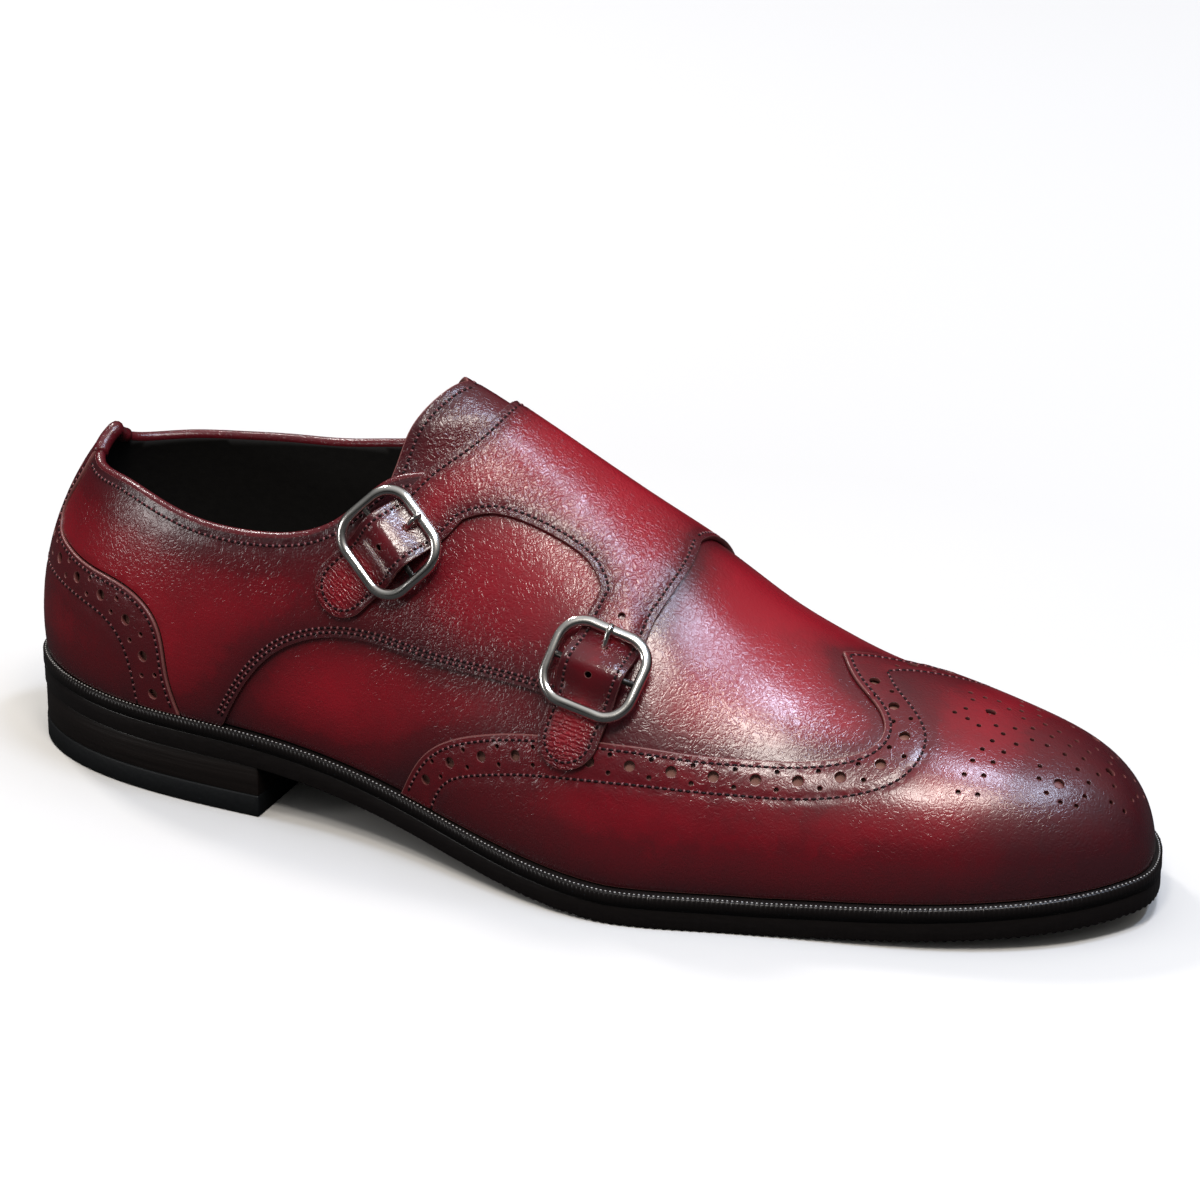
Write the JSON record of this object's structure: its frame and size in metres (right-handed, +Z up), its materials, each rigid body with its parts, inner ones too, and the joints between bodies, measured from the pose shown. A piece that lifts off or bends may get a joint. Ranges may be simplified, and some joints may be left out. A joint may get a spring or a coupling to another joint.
{
  "type": "monk strap shoe",
  "caption": "Right monk strap dress shoe with a wing cap, a heel counter, buckled instep straps, a welted leather sole and a stacked heel, standing empty",
  "frame": {"origin": "on the floor, below the middle of the shoe's length and width", "axes": "+X toward the toe, +Y toward the medial side, +Z up; the lateral side with the buckles faces -Y"},
  "size_m": [0.305, 0.1067, 0.1104],
  "materials": {
    "burgundy_leather": "polished burgundy calf, burnished darker toward its edges",
    "plum_leather": "polished plum brown calf with punched holes",
    "sole_leather": "satin brown black edge dressing",
    "heel_rubber": "matt black",
    "insole_leather": "plain tan",
    "polished_nickel": "polished nickel plate"
  },
  "bodies": {
    "root": {"outsole": "sole_leather", "welt": "sole_leather", "heel_stack": "sole_leather", "heel_top_piece": "heel_rubber", "insole": "insole_leather", "upper": "burgundy_leather", "tongue": "burgundy_leather", "wing_cap": "plum_leather", "heel_counter": "plum_leather", "lateral_quarter": "burgundy_leather", "strap_quarter": "burgundy_leather", "buckle_frame_1": "polished_nickel", "buckle_frame_2": "polished_nickel", "buckle_prong_1": "polished_nickel", "buckle_prong_2": "polished_nickel", "buckle_keeper_1": "burgundy_leather", "buckle_keeper_2": "burgundy_leather"}
  },
  "joints": []
}
